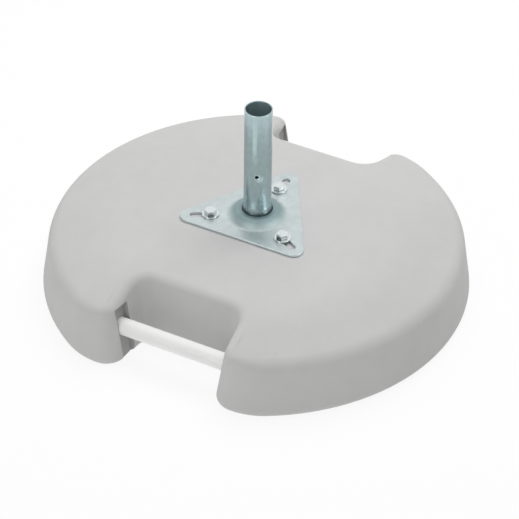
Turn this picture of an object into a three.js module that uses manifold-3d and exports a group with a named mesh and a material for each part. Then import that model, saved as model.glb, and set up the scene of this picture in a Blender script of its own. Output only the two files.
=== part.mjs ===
// Round concrete parasol base: a heavy cast disc with a notch and a hand bar on two opposite sides,
// and a galvanised stand tube on a three-cornered plate that is bolted to the crown.
// Millimetres, +Z up. The origin is on the floor under the middle, the hand bars run along X.
import * as THREE from "three";
import { mergeVertices } from "three/addons/utils/BufferGeometryUtils.js";
import Module from "manifold-3d";

const wasm = await Module();
wasm.setup();

const radians = THREE.MathUtils.degToRad;

// Clearance between pieces that touch, and how far a cut runs past what it cuts.
const seat_gap = 0.3;
const cut_overrun = 20;

// Concrete casting: side, shoulder and crown. The shoulder is where side and crown would meet unblended.
const base_diameter = 750;
const side_draft_degrees = 8.7;
const shoulder_height = 103;
const crown_rise = 34;
const crown_flat_diameter = 530;
const rim_blend_radius = 29.5;
const foot_blend_radius = 12;
const crown_blend_radius = 200;

// Notches, measured at the floor. The width is that of the notch's back, the nose inset is how far
// the end of a lug stays inside the round of the base.
const notch_width = 165;
const notch_depth = 123;
const notch_splay_degrees = 6;
const notch_nose_radius = 40;
const notch_nose_inset = 33;
const notch_corner_radius = 12;
const notch_blend_radius = 17;

// Upright slots in the notch walls for the ends of the hand bars, open to the floor and closed at
// the top. Their floors lean as the walls do, and their distance is measured at the floor.
const slot_floor_distance = 190;
const bar_slot_width = 33;
const bar_slot_height = 105;

// Hand bars: a plastic sleeve that turns on a steel rod, whose ends are cast into the concrete.
// The sleeve's own ends run in round sockets in the floors of the slots.
const bar_inset = 82;
const bar_height = 62.5;
const grip_diameter = 30;
const grip_socket_depth = 7.5;
const grip_running_gap = 0.5;
const grip_end_clearance = 2;
const grip_edge_chamfer = 1;
const rod_diameter = 14;
const rod_running_gap = 0.4;
const rod_embedment = 50;

// Three-cornered flange plate with a raised dish round the tube.
const plate_thickness = 5;
const plate_inradius = 76;
const plate_corner_radius = 18;
const dish_diameter = 108;
const dish_rise = 14;
const dish_lip_width = 6;

// Slots in the plate and the bolts in them.
const bolt_circle_radius = 81;
const slot_width = 13.5;
const slot_inner_reach = 11;
const slot_outer_reach = 36;
const bolt_diameter = 12;
const bolt_grip_below_plate = 40;
const head_across_flats = 19;
const head_height = 7.5;
const head_bevel_degrees = 30;
const head_turns_degrees = [2, 34, 46];
const washer_diameter = 30;
const washer_thickness = 2.5;
const washer_hole_clearance = 0.5;

// Threaded sockets cast into the crown under the bolts.
const socket_diameter = 18;
const socket_length = 50;
const socket_floor_thickness = 5;

// Stand tube with a flared foot.
const tube_diameter = 48.3;
const tube_wall = 2;
const tube_length = 226;
const flare_diameter = 52.5;
const flare_height = 15;
const tube_hole_diameter = 7;
const tube_hole_height = 81;
const tube_hole_azimuth_degrees = 24;
const weld_leg = 5;

// Number of facets on round pieces.
const base_facets = 96;
const crown_blend_facets = 3;
const blend_facets = 7;
const foot_facets = 3;
const nose_facets = 9;
const corner_facets = 5;
const back_half_facets = 3;
const side_facets = 2;
const lug_facets = 6;
const tube_facets = 48;
const round_facets = 32;
const small_facets = 24;
const corner_arc_facets = 8;
const dish_facets = 7;
const flare_facets = 5;
const bolt_count = 3;
const hexagon_sides = 6;
const meeting_passes = 6;

// Worked out from the sizes above.
const bolt_spacing = (2 * Math.PI) / bolt_count;
const draft = radians(side_draft_degrees);
const splay = radians(notch_splay_degrees);
const foot_blend_reach = foot_blend_radius / Math.tan((Math.PI / 2 - draft) / 2);
const foot_radius = base_diameter / 2 + foot_blend_reach - foot_blend_radius;
const crown_height = shoulder_height + crown_rise;
const crown_flat_radius = crown_flat_diameter / 2;
const shoulder_radius = foot_radius - shoulder_height * Math.tan(draft);
const crown_slope = Math.atan2(crown_rise, shoulder_radius - crown_flat_radius);
const bar_place = base_diameter / 2 - bar_inset;
const grip_radius = grip_diameter / 2;
const slot_floor_at = (height) => slot_floor_distance / 2 + height * Math.tan(draft);
const grip_socket_floor = slot_floor_at(bar_height) + grip_socket_depth;
const rod_half_length = grip_socket_floor + rod_embedment;
const rod_radius = rod_diameter / 2;
const plate_floor = crown_height + seat_gap;
const plate_top = plate_floor + plate_thickness;
const washer_floor = plate_top + seat_gap;
const head_floor = washer_floor + washer_thickness + seat_gap;
const flare_radius = flare_diameter / 2;
const tube_radius = tube_diameter / 2;
const plate_bore_radius = flare_radius + seat_gap;
const dish_top = plate_top + dish_rise;

// Geometry helpers

// A closed three.js geometry as a solid for joining and cutting.
function solid(geometry) {
  const bare = geometry.clone();
  bare.deleteAttribute("normal");
  bare.deleteAttribute("uv");
  const merged = mergeVertices(bare);
  const mesh = new wasm.Mesh({
    numProp: 3,
    vertProperties: merged.getAttribute("position").array,
    triVerts: new Uint32Array(merged.index.array),
  });
  return new wasm.Manifold(mesh);
}

function shape_of(body) {
  const mesh = body.getMesh();
  const geometry = new THREE.BufferGeometry();
  geometry.setAttribute("position", new THREE.BufferAttribute(new Float32Array(mesh.vertProperties), 3));
  geometry.setIndex(new THREE.BufferAttribute(new Uint32Array(mesh.triVerts), 1));
  const faceted = geometry.toNonIndexed();
  faceted.computeVertexNormals();
  return faceted;
}

// Points [radius, height] turned about the Z axis, in the order that makes the faces point out.
function revolve(profile, facets) {
  const points = profile.map(([radius, height]) => new THREE.Vector2(radius, height));
  if (THREE.ShapeUtils.area(points) < 0) points.reverse();
  const closed = points[0].x > 0 || points.at(-1).x > 0;
  if (closed) points.push(points[0].clone());
  return solid(new THREE.LatheGeometry(points, facets).rotateX(Math.PI / 2));
}

function upright_cylinder(radius, floor, top, facets) {
  const profile = [[0, floor], [radius, floor], [radius, top], [0, top]];
  return revolve(profile, facets);
}

function pipe(inner_radius, outer_radius, floor, top, facets) {
  const profile = [
    [inner_radius, floor], [outer_radius, floor], [outer_radius, top], [inner_radius, top],
  ];
  return revolve(profile, facets);
}

// A flat outline [x, y] pulled up from a floor to a top.
function pull_up(outline, floor, top) {
  const shape = new THREE.Shape(outline.map(([x, y]) => new THREE.Vector2(x, y)));
  const geometry = new THREE.ExtrudeGeometry(shape, { depth: top - floor, bevelEnabled: false });
  return solid(geometry.translate(0, 0, floor));
}

// A solid made upright about Z laid down along X, centred on a place and height.
function lay_along_x(body, place, height) {
  return body.rotate([0, 90, 0]).translate([0, place, height]);
}

// Skins a stack of rings, each a list of points with the same count, and closes both ends.
function loft(rings) {
  const flat = (ring) => ring.map((point) => new THREE.Vector2(point.x, point.y));
  const backwards = THREE.ShapeUtils.area(flat(rings[0])) < 0;
  const ordered = backwards ? rings.map((ring) => [...ring].reverse()) : rings;
  const count = ordered[0].length;
  const cap = (ring) => THREE.ShapeUtils.triangulateShape(flat(ring), []);
  const triangles = [];
  for (const [a, b, c] of cap(ordered[0])) triangles.push(a, c, b);
  for (let level = 0; level + 1 < ordered.length; level++) {
    for (let i = 0; i < count; i++) {
      const here = level * count + i;
      const next = level * count + ((i + 1) % count);
      triangles.push(here, next, next + count, here, next + count, here + count);
    }
  }
  const last = (ordered.length - 1) * count;
  for (const [a, b, c] of cap(ordered.at(-1))) triangles.push(last + a, last + b, last + c);
  const geometry = new THREE.BufferGeometry().setFromPoints(ordered.flat());
  geometry.setIndex(triangles);
  return solid(geometry);
}

function steps(count) {
  return Array.from({ length: count + 1 }, (_, i) => i / count);
}

// Casting profile: how a wall runs up from the floor, over its blend and onto the crown

// Height of the crown over a point, its middle blended into the slope.
function crown_at(radius) {
  const reach = crown_blend_radius * Math.tan(crown_slope / 2);
  const past = radius - (crown_flat_radius - reach);
  if (past <= 0) return crown_height;
  if (radius >= crown_flat_radius + reach * Math.cos(crown_slope))
    return crown_height - (radius - crown_flat_radius) * Math.tan(crown_slope);
  return crown_height - crown_blend_radius + Math.sqrt(crown_blend_radius ** 2 - past ** 2);
}

// The blend between the floor and a wall, as [inset from the wall's foot, height].
function foot_blend() {
  return steps(foot_facets).map((share) => {
    const angle = Math.PI / 2 - share * (Math.PI / 2 + draft);
    const inset = foot_blend_reach - foot_blend_radius * Math.cos(angle);
    return [inset, foot_blend_radius * (1 - Math.sin(angle))];
  });
}

// The blend between a wall and the crown, along a way that starts at the wall's foot.
// over(inset) gives the crown's height there. Crown and wall meet where neither is blended, which is
// found by going back and forth between the two a few times.
function rim_blend(over, blend_radius) {
  let corner = shoulder_height;
  for (let pass = 0; pass < meeting_passes; pass++) corner = over(corner * Math.tan(draft));
  const inset = corner * Math.tan(draft);
  let slope = 0;
  let reach = blend_radius;
  for (let pass = 0; pass < meeting_passes; pass++) {
    reach = blend_radius * Math.tan((Math.PI / 2 - draft - slope) / 2);
    slope = Math.atan2(over(inset + reach * Math.cos(slope)) - corner, reach * Math.cos(slope));
  }
  const middle_inset = inset - reach * Math.sin(draft) + blend_radius * Math.cos(draft);
  const middle_height = corner - reach * Math.cos(draft) - blend_radius * Math.sin(draft);
  return steps(blend_facets).map((share) => {
    const angle = draft + share * (Math.PI / 2 - slope - draft);
    return [
      middle_inset - blend_radius * Math.cos(angle),
      middle_height + blend_radius * Math.sin(angle),
    ];
  });
}

// Concrete casting

const notch_back = base_diameter / 2 - notch_depth;

// Half the width of a notch where its side is straight, at a distance from the middle of the base.
const notch_side_x = (y) => notch_width / 2 + (y - notch_back) * Math.tan(splay);

// The way into the concrete from each point of a notch's foot line, from the middle of its back to
// beyond the end of the lug: where it starts, its direction, how far it can go, and the radius of
// the blend on top. x is across the notch, y out of it. The lug ends in two arcs, a tight one from
// the side of the notch to the tip and a wide one from the tip onto the round of the base.
function notch_ways() {
  const tip_y = base_diameter / 2 - notch_nose_inset;
  const nose_y = tip_y - notch_nose_radius;
  const nose_x = notch_side_x(nose_y) + notch_nose_radius / Math.cos(splay);
  const room = foot_radius - notch_nose_radius;
  const shift = (room ** 2 - nose_x ** 2 - nose_y ** 2) / (2 * (room - nose_y));
  const lug_radius = notch_nose_radius + shift;
  const lug_y = nose_y - shift;

  const way = (x, y, angle, limit = Infinity, blend = notch_blend_radius) => (
    { x, y, dx: Math.cos(angle), dy: Math.sin(angle), limit, blend });
  const corner_y = notch_back + notch_corner_radius;
  const corner_x = notch_side_x(corner_y) - notch_corner_radius / Math.cos(splay);
  const right = [];
  for (const share of steps(back_half_facets).slice(0, -1)) {
    right.push(way(corner_x * share, notch_back, -Math.PI / 2));
  }
  for (const share of steps(corner_facets)) {
    const angle = -Math.PI / 2 + share * (Math.PI / 2 - splay);
    const x = corner_x + notch_corner_radius * Math.cos(angle);
    right.push(way(x, corner_y + notch_corner_radius * Math.sin(angle), angle));
  }
  const side_start_y = right.at(-1).y;
  const side_end_y = nose_y + notch_nose_radius * Math.sin(splay);
  for (const share of steps(side_facets).slice(1, -1)) {
    const y = side_start_y + share * (side_end_y - side_start_y);
    right.push(way(notch_side_x(y), y, -splay));
  }
  for (const share of steps(nose_facets)) {
    const angle = Math.PI - splay - share * (Math.PI / 2 - splay);
    const x = nose_x + notch_nose_radius * Math.cos(angle);
    const y = nose_y + notch_nose_radius * Math.sin(angle);
    right.push(way(x, y, angle - Math.PI, notch_nose_radius));
  }
  const rim_angle = Math.atan2(lug_y, nose_x);
  for (const share of steps(lug_facets).slice(1)) {
    const angle = Math.PI / 2 + share * (rim_angle - Math.PI / 2);
    const x = nose_x + lug_radius * Math.cos(angle);
    const y = lug_y + lug_radius * Math.sin(angle);
    const blend = notch_blend_radius + share * (rim_blend_radius - notch_blend_radius);
    right.push(way(x, y, angle - Math.PI, lug_radius, blend));
  }
  const tangent = right.at(-1);
  const run_out = notch_nose_radius + cut_overrun;
  const end_x = tangent.x - run_out * tangent.dy;
  const end_y = tangent.y + run_out * tangent.dx;
  right.push({ ...tangent, x: end_x, y: end_y });
  return right;
}

// What is taken out for a notch facing -Y: its walls lean out as they rise and curl over onto the
// crown. The curl is lifted a hair so that it leaves no skin where it runs out on the crown.
function notch_cutter() {
  const curl_lift_share = 0.002;
  const nose_room_share = 0.97;
  const right = notch_ways();
  const left = right.slice(1).map((way) => ({ ...way, x: -way.x, dx: -way.dx }));
  const columns = [...left.reverse(), ...right].map((way) => {
    const used = (inset) => Math.min(inset, way.limit * nose_room_share);
    const over = (inset) =>
      crown_at(Math.hypot(way.x + way.dx * used(inset), way.y + way.dy * used(inset)));
    const foot = foot_blend();
    const curl = rim_blend(over, way.blend);
    const lift = way.blend * curl_lift_share;
    const profile = [
      [foot[0][0], -cut_overrun],
      ...foot,
      ...curl.map(([inset, height]) => [inset, height + lift]),
      [curl.at(-1)[0], crown_height + cut_overrun],
    ];
    return profile.map(([inset, height]) =>
      new THREE.Vector3(way.x + way.dx * used(inset), -(way.y + way.dy * used(inset)), height));
  });
  const far = -(foot_radius + cut_overrun);
  const rings = columns[0].map((_, level) => {
    const ring = columns.map((column) => column[level]);
    const height = columns[0][level].z;
    const ends = [ring.at(-1), ring[0]];
    return [...ring, ...ends.map((point) => new THREE.Vector3(point.x, far, height))];
  });
  return loft(rings);
}

// The two slots of one notch, as a block across the notch with leaning ends.
function bar_slot_cutter() {
  const low = slot_floor_at(-cut_overrun);
  const high = slot_floor_at(bar_slot_height);
  const outline = [
    [-low, -cut_overrun], [low, -cut_overrun], [high, bar_slot_height], [-high, bar_slot_height],
  ];
  const near = bar_place - bar_slot_width / 2;
  return pull_up(outline, near, near + bar_slot_width).rotate([90, 0, 0]);
}

// A round bar or bore along X at the place of the front hand bar.
function front_bar(radius, half_length, facets) {
  return lay_along_x(upright_cylinder(radius, -half_length, half_length, facets), -bar_place, bar_height);
}

function bolt_places() {
  return Array.from({ length: bolt_count }, (_, k) => {
    const angle = Math.PI / 2 + k * bolt_spacing;
    return { x: bolt_circle_radius * Math.cos(angle), y: bolt_circle_radius * Math.sin(angle), angle };
  });
}

function concrete_base() {
  const over = (inset) => crown_at(foot_radius - inset);
  const side = [...foot_blend(), ...rim_blend(over, rim_blend_radius)];
  const blend_reach = crown_blend_radius * Math.tan(crown_slope / 2);
  const blend_start = crown_flat_radius + blend_reach * Math.cos(crown_slope);
  const blend_end = crown_flat_radius - blend_reach;
  const crown = steps(crown_blend_facets).map((share) => {
    const radius = blend_start + share * (blend_end - blend_start);
    return [radius, crown_at(radius)];
  });
  const outside = side.map(([inset, height]) => [foot_radius - inset, height]);
  let body = revolve([[0, 0], ...outside, ...crown, [0, crown_height]], base_facets);

  const rod_bore = front_bar(rod_radius + seat_gap, rod_half_length + seat_gap, small_facets);
  const grip_sockets = front_bar(grip_radius + grip_running_gap, grip_socket_floor, round_facets);
  const cuts = [notch_cutter(), bar_slot_cutter(), rod_bore, grip_sockets];
  for (const cut of cuts) body = body.subtract(cut).subtract(cut.rotate([0, 0, 180]));

  const socket_floor = crown_height - socket_length - seat_gap;
  const socket_bore = upright_cylinder(
    socket_diameter / 2 + seat_gap, socket_floor, crown_height + cut_overrun, small_facets);
  for (const place of bolt_places()) body = body.subtract(socket_bore.translate([place.x, place.y, 0]));
  return body;
}

// Hand bars

function hand_grip() {
  const half = grip_socket_floor - grip_end_clearance;
  const bore = rod_radius + rod_running_gap;
  const shoulder = half - grip_edge_chamfer;
  const profile = [
    [bore, -half], [grip_radius - grip_edge_chamfer, -half], [grip_radius, -shoulder],
    [grip_radius, shoulder], [grip_radius - grip_edge_chamfer, half], [bore, half],
  ];
  return lay_along_x(revolve(profile, round_facets), -bar_place, bar_height);
}

// Flange plate, tube and fasteners

// A round-cornered triangle with one corner towards +Y.
function plate_outline() {
  const centre_reach = (plate_inradius - plate_corner_radius) / Math.cos(bolt_spacing / 2);
  const outline = [];
  for (let corner = 0; corner < bolt_count; corner++) {
    const towards = Math.PI / 2 + corner * bolt_spacing;
    for (const share of steps(corner_arc_facets)) {
      const angle = towards + share * bolt_spacing - bolt_spacing / 2;
      outline.push([
        centre_reach * Math.cos(towards) + plate_corner_radius * Math.cos(angle),
        centre_reach * Math.sin(towards) + plate_corner_radius * Math.sin(angle),
      ]);
    }
  }
  return outline;
}

// A slot along X with round ends.
function slot_outline(from, to, width) {
  const radius = width / 2;
  const end = (middle, turn) =>
    steps(corner_arc_facets).map((share) => {
      const angle = turn + share * Math.PI;
      return [middle + radius * Math.cos(angle), radius * Math.sin(angle)];
    });
  return [...end(to - radius, -Math.PI / 2), ...end(from + radius, Math.PI / 2)];
}

function flange_plate() {
  const dish_radius = dish_diameter / 2;
  const brow = plate_bore_radius + dish_lip_width;
  const slope = steps(dish_facets).map((share) => {
    const rise = (dish_rise * (1 - Math.cos(share * Math.PI))) / 2;
    return [dish_radius + share * (brow - dish_radius), plate_floor + rise];
  });
  const under = [
    [dish_radius + dish_lip_width, plate_floor],
    ...slope,
    [plate_bore_radius, plate_floor + dish_rise],
  ];
  const over = under.map(([radius, height]) => [radius, height + plate_thickness]);
  const dish = revolve([...under, ...over.reverse()], tube_facets);
  const opening = upright_cylinder(
    dish_radius, plate_floor - cut_overrun, plate_top + cut_overrun, tube_facets);
  let plate = pull_up(plate_outline(), plate_floor, plate_top).subtract(opening).add(dish);
  const slot = slot_outline(
    bolt_circle_radius - slot_inner_reach, bolt_circle_radius + slot_outer_reach, slot_width);
  const slot_cut = pull_up(slot, plate_floor - cut_overrun, plate_top + cut_overrun);
  for (const place of bolt_places()) {
    plate = plate.subtract(slot_cut.rotate([0, 0, THREE.MathUtils.radToDeg(place.angle)]));
  }
  return plate;
}

function stand_tube() {
  const floor = crown_height + seat_gap;
  const top = floor + tube_length;
  const outside = [[flare_radius, floor]];
  for (const share of steps(flare_facets)) {
    const narrowing = ((flare_radius - tube_radius) * (1 - Math.cos(share * Math.PI))) / 2;
    outside.push([flare_radius - narrowing, dish_top + share * flare_height]);
  }
  outside.push([tube_radius, top]);
  const inside = outside.map(([radius, height]) => [radius - tube_wall, height]);
  const tube = revolve([...outside, ...inside.reverse()], tube_facets);
  const drill = upright_cylinder(tube_hole_diameter / 2, 0, tube_radius + cut_overrun, small_facets)
    .rotate([90, 0, 0])
    .rotate([0, 0, tube_hole_azimuth_degrees])
    .translate([0, 0, dish_top + tube_hole_height]);
  return tube.subtract(drill);
}

// The weld that holds the tube under the plate, hidden by the dish.
function tube_weld() {
  const top = plate_floor + dish_rise - seat_gap;
  const inner = flare_radius + seat_gap;
  return revolve([[inner, top - weld_leg], [inner + weld_leg, top], [inner, top]], tube_facets);
}

function hex_bolt(turn) {
  const corner_radius = head_across_flats / Math.sqrt(3);
  const head_top = head_floor + head_height;
  const flat_radius = head_across_flats / 2;
  const bevel = (corner_radius - flat_radius) * Math.tan(radians(head_bevel_degrees));
  const hexagon = steps(hexagon_sides).slice(0, -1).map((share) => {
    const angle = share * 2 * Math.PI + radians(turn);
    return [corner_radius * Math.cos(angle), corner_radius * Math.sin(angle)];
  });
  const turned = revolve([
    [0, head_floor], [corner_radius, head_floor], [corner_radius, head_top - bevel],
    [flat_radius, head_top], [0, head_top],
  ], round_facets);
  const head = pull_up(hexagon, head_floor, head_top).intersect(turned);
  const shank_floor = plate_floor - bolt_grip_below_plate;
  const shank = upright_cylinder(
    bolt_diameter / 2, shank_floor, head_floor + head_height / 2, small_facets);
  return head.add(shank);
}

function washer() {
  const hole = bolt_diameter / 2 + washer_hole_clearance;
  return pipe(hole, washer_diameter / 2, washer_floor, washer_floor + washer_thickness, round_facets);
}

function anchor_socket() {
  const floor = crown_height - socket_length;
  const bore = bolt_diameter / 2 + seat_gap;
  const outer = socket_diameter / 2;
  const profile = [
    [0, floor], [outer, floor], [outer, crown_height], [bore, crown_height],
    [bore, floor + socket_floor_thickness], [0, floor + socket_floor_thickness],
  ];
  return revolve(profile, small_facets);
}

// Materials
const concrete = { color: 0xc9c8c7, roughness: 0.92, metalness: 0 };
const galvanised = { color: 0xa9b6b8, roughness: 0.38, metalness: 0.9 };
const zinc = { color: 0xcfd5d6, roughness: 0.28, metalness: 0.95 };
const bare_steel = { color: 0x77797b, roughness: 0.5, metalness: 0.9 };
const white_plastic = { color: 0xecebe9, roughness: 0.45, metalness: 0 };

// Assembly
const group = new THREE.Group();

function add_piece(name, body, finish) {
  const mesh = new THREE.Mesh(shape_of(body), new THREE.MeshStandardMaterial(finish));
  mesh.name = name;
  group.add(mesh);
  return mesh;
}

add_piece("concrete_base", concrete_base(), concrete);
add_piece("flange_plate", flange_plate(), galvanised);
add_piece("stand_tube", stand_tube(), galvanised);
add_piece("tube_weld", tube_weld(), bare_steel);

bolt_places().forEach((place, k) => {
  for (const [name, body, finish] of [
    ["hex_bolt", hex_bolt(head_turns_degrees[k]), zinc],
    ["flat_washer", washer(), zinc],
    ["anchor_socket", anchor_socket(), bare_steel],
  ]) {
    add_piece(`${name}_${k + 1}`, body, finish).position.set(place.x, place.y, 0);
  }
});

for (const [side, turn] of [["front", 0], ["rear", Math.PI]]) {
  const rod = front_bar(rod_radius, rod_half_length, small_facets);
  add_piece(`${side}_rod`, rod, bare_steel).rotation.z = turn;
  add_piece(`${side}_grip`, hand_grip(), white_plastic).rotation.z = turn;
}

export default group;
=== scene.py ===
"""Visible surfaces, finishes and studio of a round concrete parasol base, laid out as an add-on.

Every piece is in metres in the CAD model's frame: +Z up, the origin on the floor under the middle,
the two hand bars along X and the front notch towards -Y.
"""

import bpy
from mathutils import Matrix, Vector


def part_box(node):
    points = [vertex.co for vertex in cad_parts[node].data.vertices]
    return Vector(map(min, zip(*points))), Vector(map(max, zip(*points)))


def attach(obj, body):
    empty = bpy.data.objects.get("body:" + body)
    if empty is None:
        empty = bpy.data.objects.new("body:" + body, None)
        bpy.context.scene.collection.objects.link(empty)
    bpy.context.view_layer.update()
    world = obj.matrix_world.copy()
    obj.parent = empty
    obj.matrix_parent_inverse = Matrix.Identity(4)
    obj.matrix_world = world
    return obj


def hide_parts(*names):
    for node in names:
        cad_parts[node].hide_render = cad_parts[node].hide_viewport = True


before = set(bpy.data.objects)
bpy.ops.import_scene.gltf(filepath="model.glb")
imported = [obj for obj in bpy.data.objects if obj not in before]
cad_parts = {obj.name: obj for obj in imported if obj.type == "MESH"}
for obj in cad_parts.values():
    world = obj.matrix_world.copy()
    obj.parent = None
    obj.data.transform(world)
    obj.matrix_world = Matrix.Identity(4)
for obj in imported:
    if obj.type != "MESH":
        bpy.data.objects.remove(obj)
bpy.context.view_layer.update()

from math import atan, atan2, cos, hypot, pi, radians, sin, sqrt, tan

import bpy
import numpy as np
from mathutils import Matrix, Vector

bl_info = {
    "name": "Concrete Parasol Base",
    "version": (1, 0, 0),
    "blender": (4, 5, 0),
    "location": "View3D > Sidebar > Parasol Base",
    "description": "Casting, hand bars, flange plate, stand tube and fasteners of a parasol base",
    "category": "Add Mesh",
}


# Properties


def length(name, description, default):
    return bpy.props.FloatProperty(
        name=name, description=description, default=default, min=0.0, precision=5,
        subtype="DISTANCE", unit="LENGTH",
    )


def angle(name, description, degrees):
    return bpy.props.FloatProperty(
        name=name, description=description, default=radians(degrees), subtype="ANGLE", unit="ROTATION"
    )


def share(name, description, default, most=1.0):
    return bpy.props.FloatProperty(
        name=name, description=description, default=default, min=0.0, max=most, subtype="FACTOR"
    )


def linear(red, green, blue):
    """Scene-linear values of a colour written as it shows on a screen, from 0 to 255."""
    shown = np.array([red, green, blue]) / 255
    return tuple(np.where(shown <= 0.04045, shown / 12.92, ((shown + 0.055) / 1.055) ** 2.4).tolist())


def colour(name, description, red, green, blue):
    return bpy.props.FloatVectorProperty(
        name=name, description=description, default=linear(red, green, blue), min=0.0, max=1.0,
        size=3, subtype="COLOR",
    )


class CastingSizes(bpy.types.PropertyGroup):
    base_diameter: length("Base diameter", "Widest diameter of the casting", 0.75)
    side_draft: angle("Side draft", "Lean of the walls from upright", 8.7)
    shoulder_height: length("Shoulder height", "Where side and crown would meet unblended", 0.103)
    crown_rise: length("Crown rise", "How far the crown stands above the shoulder", 0.034)
    crown_flat_diameter: length("Crown flat", "Diameter where the crown starts to fall", 0.53)
    rim_blend: length("Rim blend", "Radius between side and crown", 0.0295)
    foot_blend: length("Foot blend", "Radius between wall and floor", 0.012)
    crown_blend: length("Crown blend", "Radius between the crown's flat and its slope", 0.2)
    notch_width: length("Notch width", "Width of a notch's back at the floor", 0.165)
    notch_depth: length("Notch depth", "Depth of a notch from the round", 0.123)
    notch_splay: angle("Notch splay", "How far a notch's sides open outwards", 6.0)
    nose_radius: length("Nose radius", "Tight radius at the end of a lug", 0.040)
    nose_inset: length("Nose inset", "How far a lug's end stays inside the round", 0.033)
    corner_radius: length("Corner radius", "Radius between back and sides of a notch", 0.012)
    notch_blend: length("Notch blend", "Radius between a notch's walls and the crown", 0.017)
    slot_floor_distance: length("Slot floors", "Distance between a bar's slot floors, at the ground", 0.190)
    slot_width: length("Slot width", "Width of the slots for a bar's ends", 0.033)
    slot_height: length("Slot height", "Height of the slots' tops", 0.105)


class BarSizes(bpy.types.PropertyGroup):
    inset: length("Bar inset", "From the round to a bar's axis", 0.082)
    height: length("Bar height", "Height of a bar's axis", 0.0625)
    diameter: length("Sleeve diameter", "Outside diameter of a sleeve", 0.030)
    bore: length("Sleeve bore", "Inside diameter of a sleeve", 0.0148)
    socket_depth: length("Socket depth", "Depth of a sleeve's round sockets in the slots", 0.0075)
    running_gap: length("Running gap", "Gap round a sleeve's end in its socket", 0.0005)
    clearance: length("End clearance", "From a sleeve's end to its socket's floor", 0.002)
    edge: length("Edge radius", "Radius on a sleeve's end edges", 0.0014)


class PlateSizes(bpy.types.PropertyGroup):
    seat_gap: length("Seat gap", "Gap between pieces that touch", 0.0003)
    thickness: length("Plate thickness", "Thickness of the flange plate", 0.005)
    inradius: length("Plate inradius", "From the middle to a side of the plate", 0.076)
    corner_radius: length("Plate corners", "Radius of the plate's corners", 0.018)
    edge: length("Plate edge", "Radius on the plate's edges", 0.0009)
    dish_diameter: length("Dish diameter", "Diameter of the raised dish at its foot", 0.108)
    dish_rise: length("Dish rise", "Height of the dish", 0.014)
    dish_lip: length("Dish lip", "Width of the flat brow round the tube", 0.006)
    slot_width: length("Slot width", "Width of the slots for the bolts", 0.0135)
    slot_start: length("Slot start", "From the middle to a slot's inner end", 0.070)
    slot_end: length("Slot end", "From the middle to a slot's outer end", 0.117)


class TubeSizes(bpy.types.PropertyGroup):
    diameter: length("Tube diameter", "Outside diameter of the tube", 0.0483)
    wall: length("Tube wall", "Thickness of the tube's wall", 0.002)
    rise: length("Tube length", "Length of the tube", 0.226)
    flare_diameter: length("Flare diameter", "Outside diameter of the flared foot", 0.0525)
    flare_height: length("Flare height", "Height over which the foot narrows", 0.015)
    rim: length("Rim radius", "Radius on the edges of the open end", 0.0006)
    hole_diameter: length("Hole diameter", "Diameter of the drilled hole", 0.007)
    hole_height: length("Hole height", "Height of the hole above the dish", 0.081)
    hole_azimuth: angle("Hole azimuth", "Turn of the hole from the front", 24.0)
    burr: length("Burr height", "How far the hole's burr stands proud", 0.0008)


class FastenerSizes(bpy.types.PropertyGroup):
    circle_radius: length("Bolt circle", "From the middle to a bolt", 0.081)
    shank_diameter: length("Shank diameter", "Diameter of a bolt's shank", 0.012)
    grip: length("Bolt grip", "How far a bolt reaches below the plate", 0.040)
    across_flats: length("Across flats", "Width of a bolt's head across flats", 0.019)
    head_height: length("Head height", "Height of a bolt's head", 0.0075)
    head_bevel: angle("Head bevel", "Slope of the chamfer on a head", 30.0)
    washer_diameter: length("Washer diameter", "Outside diameter of a washer", 0.030)
    washer_bore: length("Washer bore", "Inside diameter of a washer", 0.013)
    washer_thickness: length("Washer thickness", "Thickness of a washer", 0.0025)
    edge: length("Edge radius", "Radius on the edges of washers", 0.0006)
    head_turns: bpy.props.FloatVectorProperty(
        name="Head turns", description="How far each head is turned",
        default=tuple(radians(turn) for turn in (2, 34, 46)), size=3, subtype="EULER", unit="ROTATION",
    )


class Finishes(bpy.types.PropertyGroup):
    concrete: colour("Concrete", "Colour of the casting", 204, 204, 203)
    concrete_roughness: share("Concrete roughness", "Roughness of the casting", 0.88)
    galvanised: colour("Galvanised tube", "Colour of the stand tube", 180, 200, 203)
    plate: colour("Galvanised plate", "Colour of the flange plate", 206, 215, 216)
    # The dish colour is darker than the plate's as painted shade.
    dish: colour("Pressed dish", "Colour of the duller dish of the plate", 154, 174, 176)
    zinc: colour("Zinc", "Colour of bolts and washers", 220, 226, 228)
    steel: colour("Plain steel", "Colour of the hidden steel pieces", 138, 140, 142)
    plastic: colour("White plastic", "Colour of the hand bars' sleeves", 244, 244, 243)
    plastic_roughness: share("Plastic roughness", "Roughness of the sleeves", 0.42)


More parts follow.
